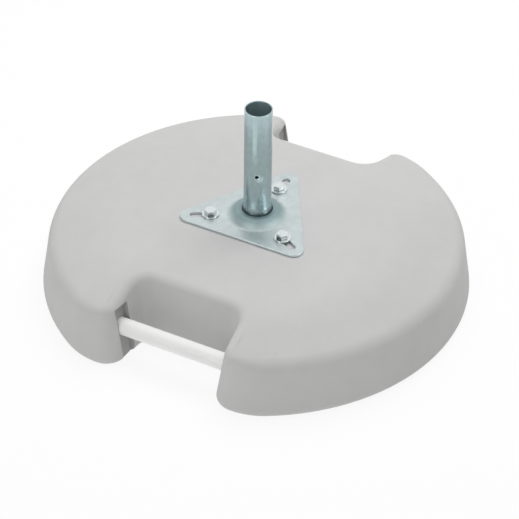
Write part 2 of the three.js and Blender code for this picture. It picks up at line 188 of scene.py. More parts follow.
class StudioSettings(bpy.types.PropertyGroup):
    camera_azimuth: angle("Camera azimuth", "Turn of the camera from the front", 27.4)
    camera_dip: angle("Camera dip", "How far the camera looks down", 38.142)
    camera_roll: angle("Camera roll", "Roll of the camera", 0.835)
    camera_distance: length("Camera distance", "Distance along the view to the origin", 4.5608)
    pixel_scale: bpy.props.FloatProperty(
        name="Pixels per metre", description="Scale of the photograph at the origin", default=565.66
    )
    origin_pixel: bpy.props.FloatVectorProperty(
        name="Origin pixel", description="Where the origin shows in the photograph",
        default=(256.343, 277.835), size=2,
    )
    ambient: share("Ambient", "Strength of the light from all round", 0.32, 5.0)
    overhead: share("Overhead softbox", "Power of the wide softbox overhead", 17.0, 2000.0)
    left: share("Left softbox", "Power of the softbox at the camera's left", 17.5, 2000.0)
    side: share("Side softbox", "Power of the softbox further to the left", 6.0, 2000.0)
    strips: share("Strip lamps", "Power of the two lamps that metal reflects", 26.0, 2000.0)
    back: share("Back softbox", "Power of the softbox behind the object", 72.0, 2000.0)
    cards: share("Dark cards", "Grey of the cards that darken reflections", 0.06)
    floor: colour("Floor", "Colour of the floor", 252, 252, 252)
    floor_fill: share("Floor fill", "Share of the floor's light that no shadow takes", 0.5)
    shadow_share: share("Shadow", "Share of the floor's look that takes shadow", 0.12)


# Meshes from grids of points


def skin(name, grid, closed_rows=False, sharp=35.0):
    """A closed piece from a grid of points [row, column, xyz] whose columns go all the way round.

    Neighbouring points are joined by four-cornered faces. The last row joins the first where
    closed_rows is set, and otherwise each end is closed by a fan on the mean of its row. Columns
    run anticlockwise about the direction in which the rows go, so that the faces point outwards.
    """
    rows, columns = grid.shape[:2]
    points = grid.reshape(-1, 3)
    index = np.arange(rows * columns).reshape(rows, columns)
    here = index if closed_rows else index[:-1]
    above = np.roll(index, -1, axis=0) if closed_rows else index[1:]
    quads = np.stack(
        [here, np.roll(here, -1, axis=1), np.roll(above, -1, axis=1), above], axis=-1
    ).reshape(-1, 4)
    fans = np.zeros((0, 3), int)
    if not closed_rows:
        points = np.vstack([points, grid[0].mean(axis=0), grid[-1].mean(axis=0)])
        first, last = rows * columns, rows * columns + 1
        low, high = index[0], index[-1]
        fans = np.vstack([
            np.stack([np.full(columns, first), np.roll(low, -1), low], axis=-1),
            np.stack([np.full(columns, last), high, np.roll(high, -1)], axis=-1),
        ])
    corners = np.concatenate([quads.ravel(), fans.ravel()]).astype(np.int32)
    starts = np.concatenate([
        np.arange(len(quads)) * 4, len(quads) * 4 + np.arange(len(fans)) * 3
    ]).astype(np.int32)
    mesh = bpy.data.meshes.new(name)
    mesh.vertices.add(len(points))
    mesh.vertices.foreach_set("co", points.astype(np.float32).ravel())
    mesh.loops.add(len(corners))
    mesh.loops.foreach_set("vertex_index", corners)
    mesh.polygons.add(len(starts))
    mesh.polygons.foreach_set("loop_start", starts)
    mesh.update(calc_edges=True)
    mesh.validate()
    smooth(mesh, sharp)
    piece = bpy.data.objects.new(name, mesh)
    bpy.context.scene.collection.objects.link(piece)
    return piece


def smooth(mesh, sharp):
    """Shades a mesh smooth, but for edges that turn by more than sharp degrees."""
    mesh.polygons.foreach_set("use_smooth", np.ones(len(mesh.polygons), bool))
    mesh.set_sharp_from_angle(angle=radians(sharp))
    mesh.update()


def turned(profile, columns):
    """Grid of a surface of revolution: each [radius, height] goes round the Z axis."""
    turn = np.linspace(0, 2 * pi, columns, endpoint=False)
    radius, height = profile[:, :1], profile[:, 1:]
    return np.stack([
        radius * np.cos(turn), radius * np.sin(turn), np.broadcast_to(height, (len(profile), columns))
    ], axis=-1)


def along_x(grid, place, height):
    """The grid of a piece made round Z, laid down along X at a place and height."""
    return np.stack([grid[..., 2], place + grid[..., 1], height - grid[..., 0]], axis=-1)


def arc(middle, radius, start, end, count):
    """Points of an arc [radial place, height] about a middle, between two angles in degrees."""
    turn = np.radians(np.linspace(start, end, count))
    return np.stack([middle[0] + radius * np.cos(turn), middle[1] + radius * np.sin(turn)], axis=-1)


def run(start, end, count):
    """Points on the straight line from start to end, both included."""
    step = np.linspace(0, 1, count)[:, None]
    return np.asarray(start) + step * (np.asarray(end) - np.asarray(start))


def cut(piece, cutters, sharp):
    """Takes the cutters out of a piece for good and removes them."""
    for cutter in cutters:
        modifier = piece.modifiers.new("cut", "BOOLEAN")
        modifier.operation = "DIFFERENCE"
        modifier.solver = "EXACT"
        modifier.object = cutter
    bpy.context.view_layer.update()
    shown = piece.evaluated_get(bpy.context.evaluated_depsgraph_get())
    mesh = bpy.data.meshes.new_from_object(shown)
    piece.modifiers.clear()
    old = piece.data
    piece.data = mesh
    bpy.data.meshes.remove(old)
    mesh.name = piece.name
    smooth(mesh, sharp)
    for cutter in cutters:
        spare = cutter.data
        bpy.data.objects.remove(cutter)
        bpy.data.meshes.remove(spare)


def place_piece(piece, material, body, slot, *nodes):
    """Gives a piece its material and its body, and hides the CAD nodes that it stands for. The slot is not
    used.
    """
    piece.data.materials.clear()
    piece.data.materials.append(material)
    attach(piece, body)
    if nodes:
        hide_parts(*nodes)


# Casting


def crown_height(s, radius):
    """Height of the crown: flat, then an arc, then a straight fall towards the shoulder."""
    top = s.shoulder_height + s.crown_rise
    flat = s.crown_flat_diameter / 2
    slope = crown_slope(s)
    reach = s.crown_blend * tan(slope / 2)
    past = np.clip(radius - (flat - reach), 0, s.crown_blend)
    bent = top - s.crown_blend + np.sqrt(s.crown_blend**2 - past**2)
    fallen = top - (radius - flat) * tan(slope)
    return np.where(radius >= flat + reach * cos(slope), fallen, bent)


def crown_slope(s):
    shoulder = foot_radius(s) - s.shoulder_height * tan(s.side_draft)
    return atan2(s.crown_rise, shoulder - s.crown_flat_diameter / 2)


def foot_radius(s):
    """Radius where the side would meet the floor without the foot's blend."""
    return s.base_diameter / 2 + s.foot_blend / tan((pi / 2 - s.side_draft) / 2) - s.foot_blend


def quarter_foot_line(s):
    """Foot line of a quarter of the casting, from the middle of a notch's back to the X axis.

    Columns of the result are the point x and y, the direction into the concrete and the radius of
    the blend on top. The line is made of the straight back, a corner arc, the straight side, a tight
    arc round the nose of the lug, a wide arc that is tangent to the round of the base, and the round
    itself.
    """
    splay = s.notch_splay
    back = s.base_diameter / 2 - s.notch_depth
    side_x = lambda y: s.notch_width / 2 + (y - back) * tan(splay)
    tip = s.base_diameter / 2 - s.nose_inset
    nose_y = tip - s.nose_radius
    nose_x = side_x(nose_y) + s.nose_radius / cos(splay)
    round_radius = foot_radius(s)
    room = round_radius - s.nose_radius
    shift = (room**2 - nose_x**2 - nose_y**2) / (2 * (room - nose_y))
    lug_radius, lug_y = s.nose_radius + shift, nose_y - shift
    rim = atan2(lug_y, nose_x)
    corner_y = back + s.corner_radius
    corner_x = side_x(corner_y) - s.corner_radius / cos(splay)

    def columns(*parts):
        return np.stack(np.broadcast_arrays(*parts), axis=-1)

    def round_part(centre, radius, turn, blend):
        c, d = np.cos(turn), np.sin(turn)
        return columns(centre[0] + radius * c, centre[1] + radius * d, -c, -d, blend)

    x = np.linspace(0, corner_x, 26)[:-1]
    parts = [columns(x, back, 0.0, -1.0, s.notch_blend)]
    turn = np.linspace(-pi / 2, -splay, 16)
    parts.append(columns(
        corner_x + s.corner_radius * np.cos(turn), corner_y + s.corner_radius * np.sin(turn),
        np.cos(turn), np.sin(turn), s.notch_blend,
    ))
    start = corner_y - s.corner_radius * sin(splay)
    end = nose_y + s.nose_radius * sin(splay)
    y = np.linspace(start, end, 20)[1:-1]
    parts.append(columns(side_x(y), y, 1 / cos(splay), 0.0, s.notch_blend))
    turn = np.linspace(pi - splay, pi / 2, 24)
    parts.append(round_part((nose_x, nose_y), s.nose_radius, turn, s.notch_blend))
    step = np.linspace(0, 1, 40)[1:]
    turn = pi / 2 + step * (rim - pi / 2)
    blend = s.notch_blend + step * (s.rim_blend - s.notch_blend)
    parts.append(round_part((nose_x, lug_y), lug_radius, turn, blend))
    turn = np.linspace(rim, 0, 96)[1:]
    parts.append(round_part((0, 0), round_radius, turn, s.rim_blend))
    return np.vstack(parts)


def casting_quarter(s):
    """Rows of points over a quarter of the casting, from under its middle up to its crown.

    Each column goes up its own profile: along the floor, round the foot's arc, up the leaning wall,
    over the rim's arc and across the crown to an inner circle and the middle. Wall and crown meet
    where neither is blended, found by going back and forth between the two.
    """
    x, y, dx, dy, blend = quarter_foot_line(s).T
    draft = s.side_draft
    over = lambda inset: crown_height(s, np.hypot(x + dx * inset, y + dy * inset))
    corner = np.full_like(x, s.shoulder_height)
    for _ in range(8):
        corner = over(corner * tan(draft))
    inset = corner * tan(draft)
    slope, reach = np.zeros_like(x), blend.copy()
    for _ in range(8):
        reach = blend * np.tan((pi / 2 - draft - slope) / 2)
        slope = np.arctan2(over(inset + reach * np.cos(slope)) - corner, reach * np.cos(slope))
    middle_inset = inset - reach * sin(draft) + blend * cos(draft)
    middle_height = corner - reach * cos(draft) - blend * sin(draft)

    step = np.linspace(0, 1, 9)[:, None]
    turn = pi / 2 - step * (pi / 2 + draft)
    foot_reach = s.foot_blend / tan((pi / 2 - draft) / 2)
    foot_inset = foot_reach - s.foot_blend * np.cos(turn) + 0 * x
    foot_height = s.foot_blend * (1 - np.sin(turn)) + 0 * x
    step = np.linspace(0, 1, 17)[:, None]
    turn = draft + step * (pi / 2 - slope - draft)
    curl_inset = middle_inset - blend * np.cos(turn)
    curl_height = middle_height + blend * np.sin(turn)
    step = np.linspace(0, 1, 30)[1:-1, None]
    wall_inset = foot_inset[-1] + step * (curl_inset[0] - foot_inset[-1])
    wall_height = foot_height[-1] + step * (curl_height[0] - foot_height[-1])
    insets = np.vstack([foot_inset, wall_inset, curl_inset])
    heights = np.vstack([foot_height, wall_height, curl_height])
    shell = np.stack([x + dx * insets, y + dy * insets, heights], axis=-1)

    # Columns reach the inner circle in the order of their length along the crown's edge. The back
    # and corner of the notch get half of it, so that no column crosses the notch's leaning side.
    edge = np.stack([x + dx * curl_inset[-1], y + dy * curl_inset[-1]], axis=-1)
    along = np.concatenate([[0], np.cumsum(np.hypot(*np.diff(edge, axis=0).T))])
    corner, nose = int(np.argmax(dy >= 0)), int(np.argmax(y))
    turn = np.interp(along, along[[0, corner, nose, -1]], [0, 0.5, 0.68, 1.0]) * pi / 2
    inner = 0.16
    ring = np.stack([inner * np.sin(turn), inner * np.cos(turn)], axis=-1)

    def level(points, height):
        return np.concatenate([points, np.full_like(points[..., :1], height)], axis=-1)

    step = (np.linspace(0, 1, 19)[1:] ** 1.15)[:, None, None]
    flat = edge + step * (ring - edge)
    crown = np.concatenate([flat, crown_height(s, np.hypot(flat[..., :1], flat[..., 1:]))], axis=-1)
    step = np.linspace(1, 0, 7)[1:-1, None, None]
    heart = level(ring * step, s.shoulder_height + s.crown_rise)
    step = np.linspace(0, 1, 5)[1:, None, None]
    under_inner = level(ring * step, 0.0)
    sole = shell[0, :, :2]
    step = np.linspace(0, 1, 5)[1:-1, None, None]
    under = level(ring + step * (sole - ring), 0.0)
    return np.concatenate([under_inner, under, shell, crown, heart])


def whole_from_quarter(quarter):
    """The quarter and its three mirror images in one ring of columns, anticlockwise from above."""
    images = []
    for flip_x, flip_y, turned_round in ((1, 1, False), (1, -1, True), (-1, -1, False), (-1, 1, True)):
        image = quarter * np.array([flip_x, flip_y, 1])
        images.append((image[:, ::-1] if turned_round else image)[:, :-1])
    return np.concatenate(images, axis=1)[:, ::-1]


def slot_floor_at(s, height):
    """Distance of the slots' leaning floors from the middle at a height."""
    return s.slot_floor_distance / 2 + height * tan(s.side_draft)


def bar_recesses(s, bars):
    """Cutters for the slots and round sockets at the hand bars' ends.

    The slots of one notch are a block across the notch whose ends lean as the walls do. The sockets
    are one round bar along X.
    """
    low, high = slot_floor_at(s, -0.02), slot_floor_at(s, s.slot_height)
    outline = np.array([(-low, -0.02), (-high, s.slot_height), (high, s.slot_height), (low, -0.02)])
    place = s.base_diameter / 2 - bars.inset
    reach = slot_floor_at(s, bars.height) + bars.socket_depth
    radius = bars.diameter / 2 + bars.running_gap
    grids = []
    for side in (-1, 1):
        ends = side * place + np.array([-0.5, 0.5]) * s.slot_width
        across = np.stack([np.broadcast_to(outline[:, 0], (2, 4)), np.repeat(ends, 4).reshape(2, 4),
                           np.broadcast_to(outline[:, 1], (2, 4))], axis=-1)
        sockets = turned(np.array([(radius, -reach), (radius, reach)]), 96)
        grids += [across, along_x(sockets, side * place, bars.height)]
    return grids


def cast_in_bores(gap=0.0003):
    """Cutters round the steel that is cast in: the rods along X and the bolts' upright sockets."""
    grids = []
    for node in ("front_rod", "rear_rod"):
        low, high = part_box(node)
        radius, reach = (high[2] - low[2]) / 2 + gap, high[0] + gap
        bore = turned(np.array([(radius, -reach), (radius, reach)]), 48)
        grids.append(along_x(bore, (low[1] + high[1]) / 2, (low[2] + high[2]) / 2))
    for k in range(3):
        low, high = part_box(f"anchor_socket_{k + 1}")
        radius = (high[0] - low[0]) / 2 + gap
        bore = turned(np.array([(radius, low[2] - gap), (radius, high[2] + 0.02)]), 48)
        grids.append(bore + np.array([(low[0] + high[0]) / 2, (low[1] + high[1]) / 2, 0]))
    return grids


class PARASOL_OT_casting(bpy.types.Operator):
    """Makes the concrete casting with its two notches and the slots for the hand bars."""

    bl_idname = "parasol_base.casting"
    bl_label = "Concrete Casting"

    def execute(self, context):
        s, bars = context.scene.parasol_casting, context.scene.parasol_bars
        piece = skin("casting", whole_from_quarter(casting_quarter(s)))
        cutters = [skin("recess", grid) for grid in bar_recesses(s, bars) + cast_in_bores()]
        cut(piece, cutters, 35.0)
        place_piece(piece, concrete_finish(context), "base", "concrete", "concrete_base")
        return {"FINISHED"}


# Hand bars


def sleeve_profile(half, radius, bore, edge):
    """A tube's wall as a closed line [radius, height] with rounded edges outside."""
    return np.vstack([
        run((bore, -half), (radius - edge, -half), 4)[:-1],
        arc((radius - edge, -half + edge), edge, -90, 0, 7)[:-1],
        run((radius, -half + edge), (radius, half - edge), 42)[:-1],
        arc((radius - edge, half - edge), edge, 0, 90, 7)[:-1],
        run((radius - edge, half), (bore, half), 4)[:-1],
        run((bore, half), (bore, -half), 12)[:-1],
    ])


class PARASOL_OT_hand_bars(bpy.types.Operator):
    """Makes the two white sleeves that turn on their steel rods."""

    bl_idname = "parasol_base.hand_bars"
    bl_label = "Hand Bars"

    def execute(self, context):
        casting, s = context.scene.parasol_casting, context.scene.parasol_bars
        half = slot_floor_at(casting, s.height) + s.socket_depth - s.clearance
        place = casting.base_diameter / 2 - s.inset
        material = plastic_finish(context)
        profile = sleeve_profile(half, s.diameter / 2, s.bore / 2, s.edge)
        for body, side in (("front_grip", -1), ("rear_grip", 1)):
            grid = along_x(turned(profile, 96), side * place, s.height)
            piece = skin(body.replace("grip", "sleeve"), grid, closed_rows=True)
            place_piece(piece, material, body, "white_plastic", body)
        return {"FINISHED"}


# Flange plate


def triangle_radius(turn, inradius, corner_radius):
    """Distance from the middle to a round-cornered triangle's edge in each direction.

    Near a corner it is the far root of the corner's circle, elsewhere the straight side.
    """
    sixth = pi / 3
    psi = np.abs((turn - pi / 2 + sixth) % (2 * sixth) - sixth)
    centre = (inradius - corner_radius) / cos(sixth)
    tangent = atan2(corner_radius * sin(sixth), centre + corner_radius * cos(sixth))
    corner = centre * np.cos(psi) + np.sqrt(
        np.clip(corner_radius**2 - (centre * np.sin(psi)) ** 2, 0, None))
    return np.where(psi < tangent, corner, inradius / np.cos(sixth - psi))


def plate_grid(s, crown, bore):
    """Grid of the flange plate: over the brow and dish, out to the edge, back underneath.

    Inside the dish's foot a row is a circle, outside it each row is part of the way from that
    circle to the plate's outline. The dish rises by half a cosine wave.
    """
    turn = np.linspace(0, 2 * pi, 720, endpoint=False)
    floor = crown + s.seat_gap
    foot = s.dish_diameter / 2
    brow = bore + s.dish_lip
    step = np.linspace(0, 1, 22)
    slope = np.stack([
        foot + step * (brow - foot), floor + s.dish_rise * (1 - np.cos(step * pi)) / 2], axis=-1)
    lift = np.array([0, s.thickness])
    top = floor + s.thickness
    lip = s.edge
    inner = np.vstack([
        run((bore, floor + s.dish_rise), (bore, top + s.dish_rise - lip), 4),
        arc((bore + lip, top + s.dish_rise - lip), lip, 180, 90, 6)[1:],
        run((bore + lip, top + s.dish_rise), (brow, top + s.dish_rise), 4)[1:],
        (slope + lift)[::-1][1:],
    ])
    circles = lambda line: np.stack([
        line[:, :1] * np.cos(turn), line[:, :1] * np.sin(turn), line[:, 1:] + 0 * turn], axis=-1)

    def outline(inset, height):
        radius = triangle_radius(turn, s.inradius - inset, s.corner_radius - inset)
        return np.stack([radius * np.cos(turn), radius * np.sin(turn), height + 0 * turn], axis=-1)

    def between(low, high, count):
        """Rows part of the way from one ring to another, neither of them included."""
        step = np.linspace(0, 1, count)[1:-1, None, None]
        return low + step * (high - low)

    upper_foot, lower_foot = circles(slope[:1] + lift)[0], circles(slope[:1])[0]
    quarter = np.radians(np.linspace(90, 0, 6))
    upper_edge = np.stack([outline(lip * (1 - cos(q)), top - lip + lip * sin(q)) for q in quarter])
    lower_edge = np.stack([outline(lip * (1 - cos(q)), floor + lip - lip * sin(q)) for q in quarter[::-1]])
    return np.concatenate([
        circles(inner), between(upper_foot, upper_edge[0], 9), upper_edge, lower_edge,
        between(lower_edge[-1], lower_foot, 9), circles(slope),
        circles(run((brow, floor + s.dish_rise), (bore, floor + s.dish_rise), 4)[1:-1]),
    ])[::-1]


def slot_cutter(s, turn, floor, top):
    """A bolt slot as a cutter: a long round-ended line carried upwards and flared at the top face,
    so that it leaves a rounded edge there."""
    half = s.slot_width / 2
    lip = s.edge
    tail = np.linspace(0, pi, 28)
    outer = np.stack([s.slot_end - half + half * np.sin(tail), -half * np.cos(tail)], axis=-1)
    inner = np.stack([s.slot_start + half - half * np.sin(tail), half * np.cos(tail)], axis=-1)
    line = np.vstack([outer, inner])
    normal = np.vstack([
        np.stack([np.sin(tail), -np.cos(tail)], axis=-1), np.stack([-np.sin(tail), np.cos(tail)], axis=-1)])
    rise = np.linspace(0, 1, 7) * lip
    grow = lip - np.sqrt(np.clip(lip**2 - rise**2, 0, None))
    heights = np.concatenate([[floor - 0.004], top - lip + rise, [top + 0.006]])
    grows = np.concatenate([[0], grow, [lip]])
    flat = line[None] + normal[None] * grows[:, None, None]
    c, d = cos(turn), sin(turn)
    x = flat[..., 0] * c - flat[..., 1] * d
    y = flat[..., 0] * d + flat[..., 1] * c
    return np.stack([x, y, heights[:, None] + 0 * x], axis=-1)


def bolt_turns():
    return [pi / 2 + k * 2 * pi / 3 for k in range(3)]


class PARASOL_OT_flange_plate(bpy.types.Operator):
    """Makes the three-cornered plate with its raised dish and three bolt slots."""

    bl_idname = "parasol_base.flange_plate"
    bl_label = "Flange Plate"

    def execute(self, context):
        casting, s, tube = (
            context.scene.parasol_casting, context.scene.parasol_plate, context.scene.parasol_tube)
        crown = casting.shoulder_height + casting.crown_rise
        bore = tube.flare_diameter / 2 + s.seat_gap
        piece = skin("dished_plate", plate_grid(s, crown, bore), closed_rows=True, sharp=40.0)
        floor = crown + s.seat_gap
        cutters = [
            skin(f"slot_cutter_{k}", slot_cutter(s, turn, floor, floor + s.thickness))
            for k, turn in enumerate(bolt_turns())
        ]
        cut(piece, cutters, 40.0)
        place_piece(piece, plate_finish(context), "base", "galvanised_steel", "flange_plate")
        return {"FINISHED"}


# Stand tube


def tube_profile(s, floor, dish_top):
    """The tube's wall as a closed line [radius, height]: a flared foot that narrows by half a cosine
    wave, a straight body, a rounded end and the bore."""
    radius, flare = s.diameter / 2, s.flare_diameter / 2
    top = floor + s.rise
    step = np.linspace(0, 1, 18)
    narrow = np.stack([
        flare - (flare - radius) * (1 - np.cos(step * pi)) / 2, dish_top + step * s.flare_height], axis=-1)
    hole = dish_top + s.hole_height
    start, end = dish_top + s.flare_height, top - s.rim
    heights = np.concatenate([
        np.linspace(start, hole - 0.009, 18)[1:-1], np.linspace(hole - 0.009, hole + 0.009, 25),
        np.linspace(hole + 0.009, end, 30)[1:-1],
    ])
    straight = np.stack([np.full_like(heights, radius), heights], axis=-1)
    inner = radius - s.wall
    return np.vstack([
        run((flare, floor), (flare, dish_top), 5)[:-1], narrow, straight,
        arc((radius - s.rim, top - s.rim), s.rim, 0, 90, 6),
        arc((inner + s.rim, top - s.rim), s.rim, 90, 180, 6),
        np.stack([np.full_like(heights, inner), heights[::-1]], axis=-1),
        (narrow - np.array([s.wall, 0]))[::-1],
        run((flare - s.wall, dish_top), (flare - s.wall, floor), 5)[1:],
    ])


def raise_burr(grid, s, height, inner):
    """Pushes the wall outwards in a ring round the hole and a smear below it, most at the lower right.

    The push is a bell curve of the distance from the hole's axis, measured on the wall.
    """
    turn = s.hole_azimuth - pi / 2
    x, y, z = grid[..., 0], grid[..., 1], grid[..., 2]
    outside = np.hypot(x, y) > inner
    around = (np.arctan2(y, x) - turn + pi) % (2 * pi) - pi
    u, v = around * s.diameter / 2, z - height
    distance = np.hypot(u, v)
    ring = np.exp(-(((distance - s.hole_diameter * 0.62) / 0.0008) ** 2))
    side = 0.6 + 0.4 * np.cos(np.arctan2(v, u) + pi / 3)
    smear = 0.5 * np.exp(-(((u - 0.0005) / 0.0016) ** 2 + ((v + 0.0070) / 0.0022) ** 2))
    push = np.where(outside, s.burr * (ring * side + smear), 0.0)
    scale = 1 + push / np.maximum(np.hypot(x, y), 1e-6)
    return np.stack([x * scale, y * scale, z], axis=-1)


class PARASOL_OT_stand_tube(bpy.types.Operator):
    """Makes the galvanised stand tube with its flared foot and drilled hole."""

    bl_idname = "parasol_base.stand_tube"
    bl_label = "Stand Tube"

    def execute(self, context):
        casting, plate, s = (
            context.scene.parasol_casting, context.scene.parasol_plate, context.scene.parasol_tube)
        floor = casting.shoulder_height + casting.crown_rise + plate.seat_gap
        dish_top = floor + plate.thickness + plate.dish_rise
        hole = dish_top + s.hole_height
        grid = turned(tube_profile(s, floor, dish_top), 200)
        grid = raise_burr(grid, s, hole, s.diameter / 2 - s.wall / 2)
        piece = skin("tube", grid, closed_rows=True, sharp=40.0)
        reach = s.diameter / 2
        drill = turned(np.array([
            [s.hole_diameter / 2, reach * 0.6], [s.hole_diameter / 2, reach - s.wall / 2],
            [s.hole_diameter / 2, reach * 1.3]]), 40)
        c, d = cos(s.hole_azimuth), sin(s.hole_azimuth)
        u, v, w = drill[..., 0], drill[..., 1], drill[..., 2]
        drill = np.stack([u * c + w * d, u * d - w * c, hole + v], axis=-1)
        cut(piece, [skin("drill", drill)], 40.0)
        # Middle of the bare patch by the hole, which the tube's finish paints brighter as a highlight.
        turn = s.hole_azimuth + radians(9)
        scrape_and_glint = (reach * sin(turn), -reach * cos(turn), hole - 0.004)
        place_piece(piece, tube_finish(context, dish_top, scrape_and_glint), "base", "galvanised_steel", "stand_tube")
        return {"FINISHED"}


# Fasteners


def bolt_grid(s, turn, plate_floor, head_floor):
    """Grid of a bolt: the round shank, then the head, whose rows are hexagons under a cone.

    In each direction the head reaches half the width over flats, divided by the cosine of the
    angle from the nearest flat. The cone cuts the top where that is more than the half width.
    """
    columns = 144
    angle_round = np.linspace(0, 2 * pi, columns, endpoint=False)
    sixth = pi / 3
    flat = s.across_flats / 2
    from_flat = (angle_round - turn) % sixth - sixth / 2
    hexagon = flat / np.cos(from_flat)
    shank = s.shank_diameter / 2
    top = head_floor + s.head_height
    low = plate_floor - s.grip
    bevel = (hexagon - flat) * tan(s.head_bevel)
    soft = 0.00035

    def row(radius, height):
        radius = radius + 0 * angle_round
        height = height + 0 * angle_round
        return np.stack([radius * np.cos(angle_round), radius * np.sin(angle_round), height], axis=-1)

    rows = [row(shank * f, low) for f in (0.4, 0.8)]
    rows += [row(shank - 0.001, low), row(shank, low + 0.001)]
    rows += [row(shank, low + f * (head_floor - low)) for f in (0.3, 0.6, 0.85)]
    rows += [row(shank, head_floor)]
    rows += [row(shank + f * (hexagon - soft - shank), head_floor) for f in (0.5, 1.0)]
    rows += [row(hexagon, head_floor + soft)]
    rows += [row(hexagon, head_floor + f * (s.head_height - bevel - soft)) for f in (0.3, 0.6, 0.9)]
    rows += [row(hexagon - 0.3 * soft, top - bevel - 0.4 * soft)]
    for f in (0.25, 0.6, 1.0):
        radius = hexagon + f * (flat * 0.97 - hexagon)
        rows.append(row(radius, top - np.maximum(radius - flat, 0) * tan(s.head_bevel) - soft * (1 - f)))
    rows += [row(flat * f, top) for f in (0.9, 0.6, 0.3)]
    return np.stack(rows)


def washer_profile(s, floor):
    """A washer's section as a closed line with rounded edges."""
    outer, inner, top, lip = s.washer_diameter / 2, s.washer_bore / 2, floor + s.washer_thickness, s.edge
    return np.vstack([
        arc((outer - lip, floor + lip), lip, -90, 0, 6), arc((outer - lip, top - lip), lip, 0, 90, 6),
        run((outer - lip, top), (inner + lip, top), 5)[1:-1],
        arc((inner + lip, top - lip), lip, 90, 180, 6), arc((inner + lip, floor + lip), lip, 180, 270, 6),
        run((inner + lip, floor), (outer - lip, floor), 5)[1:-1],
    ])


class PARASOL_OT_fasteners(bpy.types.Operator):
    """Makes the three bolts with their washers."""

    bl_idname = "parasol_base.fasteners"
    bl_label = "Fasteners"

    def execute(self, context):
        casting, plate, s = (
            context.scene.parasol_casting, context.scene.parasol_plate, context.scene.parasol_fasteners)
        plate_floor = casting.shoulder_height + casting.crown_rise + plate.seat_gap
        washer_floor = plate_floor + plate.thickness + plate.seat_gap
        head_floor = washer_floor + s.washer_thickness + plate.seat_gap
        material = zinc_finish(context)
        for k, turn in enumerate(bolt_turns()):
            place = np.array([s.circle_radius * cos(turn), s.circle_radius * sin(turn), 0])
            bolt = skin(
                f"bolt_{k + 1}", bolt_grid(s, s.head_turns[k], plate_floor, head_floor) + place, sharp=28.0)
            place_piece(bolt, material, "base", "zinc_plated_steel", f"hex_bolt_{k + 1}")
            washer = skin(
                f"washer_{k + 1}", turned(washer_profile(s, washer_floor), 96) + place, closed_rows=True)
            place_piece(washer, material, "base", "zinc_plated_steel", f"flat_washer_{k + 1}")
        return {"FINISHED"}


class PARASOL_OT_hidden_steel(bpy.types.Operator):
    """Gives the CAD pieces that stay, the rods, sockets and weld, their plain steel."""

    bl_idname = "parasol_base.hidden_steel"
    bl_label = "Hidden Steel"

    def execute(self, context):
        material = steel_finish(context)
        for name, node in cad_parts.items():
            if name.endswith("_rod") or name.startswith("anchor_socket") or name == "tube_weld":
                node.data.materials.clear()
                node.data.materials.append(material)
        return {"FINISHED"}


# Finishes


class Graph:
    """A material's nodes, made and joined in few words."""

    def __init__(self, name):
        self.material = bpy.data.materials.new(name)
        self.material.use_nodes = True
        self.tree = self.material.node_tree
        self.shader = self.tree.nodes["Principled BSDF"]
        self.place = self.tree.nodes.new("ShaderNodeTexCoord").outputs["Object"]

    def node(self, kind, **settings):
        made = self.tree.nodes.new(kind)
        for key, value in settings.items():
            if hasattr(made, key):
                setattr(made, key, value)
            else:
                made.inputs[key.replace("_", " ").title()].default_value = value
        return made

    def join(self, start, end):
        self.tree.links.new(start, end)

    def stretched(self, x, y, z):
        """Object coordinates scaled along each axis."""
        mapping = self.node("ShaderNodeMapping")
        mapping.inputs["Scale"].default_value = (x, y, z)
        self.join(self.place, mapping.inputs["Vector"])
        return mapping.outputs["Vector"]

    def noise(self, scale, detail=2.0, roughness=0.5, place=None):
        made = self.node("ShaderNodeTexNoise", scale=scale, detail=detail, roughness=roughness)
        self.join(place or self.place, made.inputs["Vector"])
        return made.outputs["Fac"]

    def spread(self, value, low, high, to_low, to_high):
        """A value moved from one range to another and held inside it."""
        made = self.node("ShaderNodeMapRange")
        made.clamp = True
        self.join(value, made.inputs["Value"])
        for key, number in (("From Min", low), ("From Max", high), ("To Min", to_low), ("To Max", to_high)):
            made.inputs[key].default_value = number
        return made.outputs["Result"]

    def sum(self, operation, first, second):
        made = self.node("ShaderNodeMath", operation=operation)
        for slot_number, value in enumerate((first, second)):
            if isinstance(value, (int, float)):
                made.inputs[slot_number].default_value = value
            else:
                self.join(value, made.inputs[slot_number])
        return made.outputs[0]

    def distance(self, place, scale=(1.0, 1.0, 1.0), folded=False):
        """How far a point is from a place, once its coordinates are scaled and, where folded is set,
        taken without their signs."""
        made = self.node("ShaderNodeVectorMath", operation="DISTANCE")
        point = self.stretched(*scale)
        if folded:
            without_signs = self.node("ShaderNodeVectorMath", operation="ABSOLUTE")
            self.join(point, without_signs.inputs[0])
            point = without_signs.outputs["Vector"]
        self.join(point, made.inputs[0])
        made.inputs[1].default_value = place
        return made.outputs["Value"]

    def tinted(self, tone, value):
        """A colour made darker or lighter by a value about 1."""
        made = self.node("ShaderNodeVectorMath", operation="SCALE")
        made.inputs[0].default_value = tuple(tone)[:3]
        self.join(value, made.inputs["Scale"])
        self.join(made.outputs["Vector"], self.shader.inputs["Base Color"])
        return made

    def bump(self, height, distance, strength=1.0):
        made = self.node("ShaderNodeBump")
        made.inputs["Strength"].default_value = strength
        made.inputs["Distance"].default_value = distance
        self.join(height, made.inputs["Height"])
        self.join(made.outputs["Normal"], self.shader.inputs["Normal"])

    def rough(self, value):
        self.join(value, self.shader.inputs["Roughness"])


